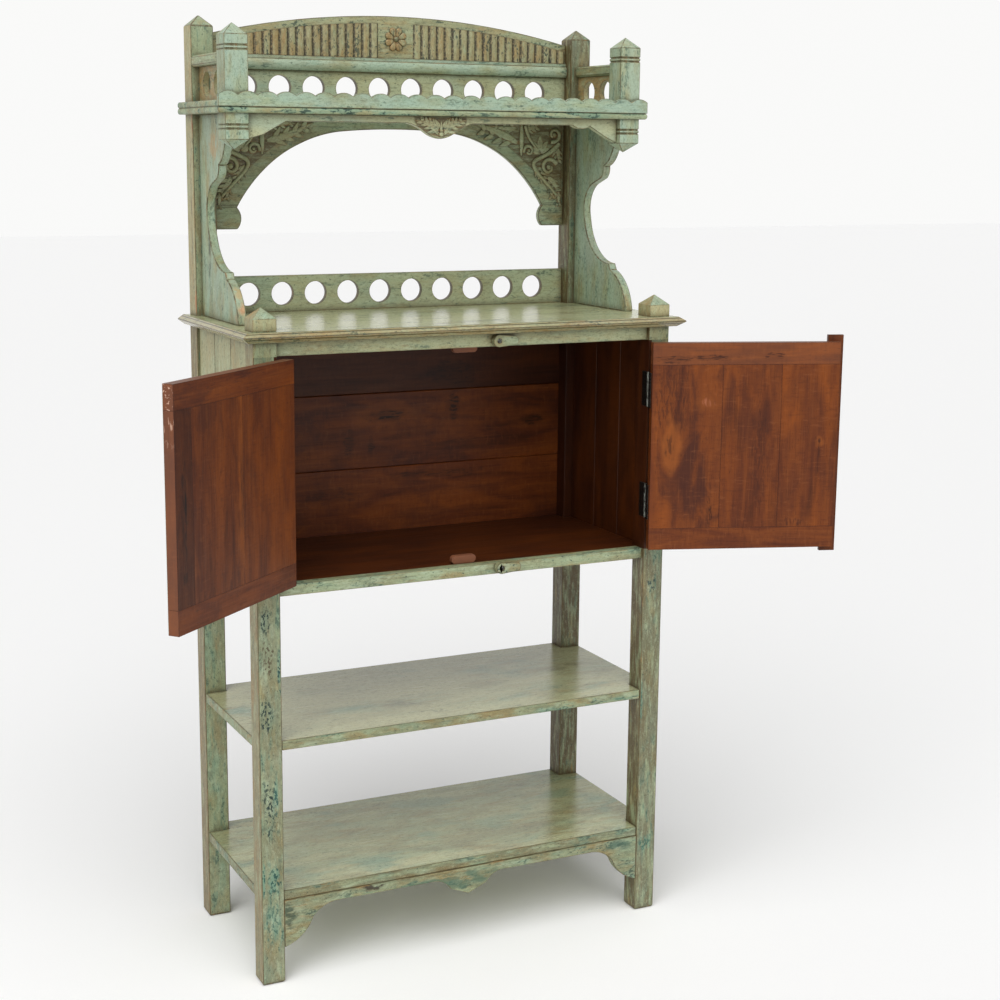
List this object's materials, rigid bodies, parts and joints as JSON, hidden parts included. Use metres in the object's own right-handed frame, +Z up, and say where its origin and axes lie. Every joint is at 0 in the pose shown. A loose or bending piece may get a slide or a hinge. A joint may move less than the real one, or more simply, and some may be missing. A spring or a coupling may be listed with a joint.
{
  "type": "trastero cabinet",
  "caption": "Tall painted cupboard with open lower shelves, a case with hinged doors and turn buttons, an overhanging counter, scrolled brackets, an arched back, pierced galleries and a crest.",
  "frame": {"origin": "on the floor at the centre of the rectangle that the four posts stand on", "axes": "+X to the right as seen from the front, +Y to the back, +Z up"},
  "size_m": [1.4834, 0.6857, 1.9059],
  "materials": {
    "painted_wood": "distressed pale sage paint, rubbed through to brown wood at edges and wear spots",
    "stained_wood": "reddish-brown stain with a dull wax",
    "iron": "dark, slightly rusty iron"
  },
  "bodies": {
    "cabinet": {"arch_board": "painted_wood", "back_board_1": "stained_wood", "back_board_2": "stained_wood", "back_board_3": "stained_wood", "back_rail": "painted_wood", "bottom_apron": "painted_wood", "bottom_shelf": "painted_wood", "bracket_left": "painted_wood", "bracket_right": "painted_wood", "button_screws": "iron", "case_bottom_rail": "painted_wood", "case_floor": "stained_wood", "case_top_rail": "painted_wood", "counter_gallery": "painted_wood", "counter_top": "painted_wood", "crest_board": "painted_wood", "door_stop_bottom": "stained_wood", "door_stop_top": "stained_wood", "finial_left": "painted_wood", "finial_right": "painted_wood", "front_post_left": "painted_wood", "front_post_right": "painted_wood", "left_hinge_post_leaves": "iron", "middle_shelf": "painted_wood", "pendant_left": "painted_wood", "pendant_right": "painted_wood", "rear_post_left": "painted_wood", "rear_post_right": "painted_wood", "reed_panel_left": "painted_wood", "reed_panel_right": "painted_wood", "right_hinge_post_leaves": "iron", "rosette": "painted_wood", "shelf_strip": "painted_wood", "side_boards_left": "painted_wood", "side_boards_right": "painted_wood", "side_cap_left": "painted_wood", "side_cap_right": "painted_wood", "side_gallery_left": "painted_wood", "side_gallery_right": "painted_wood", "spandrel_left": "painted_wood", "spandrel_right": "painted_wood", "top_gallery": "painted_wood", "upper_shelf": "painted_wood", "valance": "painted_wood", "valance_leaf": "painted_wood"},
    "left_door": {"left_door_board_1": "painted_wood", "left_door_board_2": "painted_wood", "left_door_board_3": "painted_wood", "left_door_bottom_rail": "painted_wood", "left_door_top_rail": "painted_wood", "left_hinge_door_leaves": "iron"},
    "right_door": {"right_door_board_1": "painted_wood", "right_door_board_2": "painted_wood", "right_door_board_3": "painted_wood", "right_door_bottom_rail": "painted_wood", "right_door_top_rail": "painted_wood", "right_hinge_door_leaves": "iron", "astragal": "painted_wood"},
    "top_button": {"top_turn_button": "painted_wood"},
    "bottom_button": {"bottom_turn_button": "painted_wood"}
  },
  "joints": [
    {"name": "left_door_hinge", "type": "hinge", "parent": "cabinet", "child": "left_door", "pos_m": [-0.4012, -0.2036, 1.034], "axis": [0, 0, -1], "range_deg": [-140, 40]},
    {"name": "right_door_hinge", "type": "hinge", "parent": "cabinet", "child": "right_door", "pos_m": [0.4012, -0.2036, 1.034], "axis": [0, 0, 1], "range_deg": [-161, 19]},
    {"name": "top_button_turn", "type": "hinge", "parent": "cabinet", "child": "top_button", "pos_m": [0.057, -0.2, 1.2645], "axis": [0, 1, 0], "range_deg": [0, 90]},
    {"name": "bottom_button_turn", "type": "hinge", "parent": "cabinet", "child": "bottom_button", "pos_m": [0.068, -0.2, 0.8035], "axis": [0, -1, 0], "range_deg": [0, 90]}
  ]
}
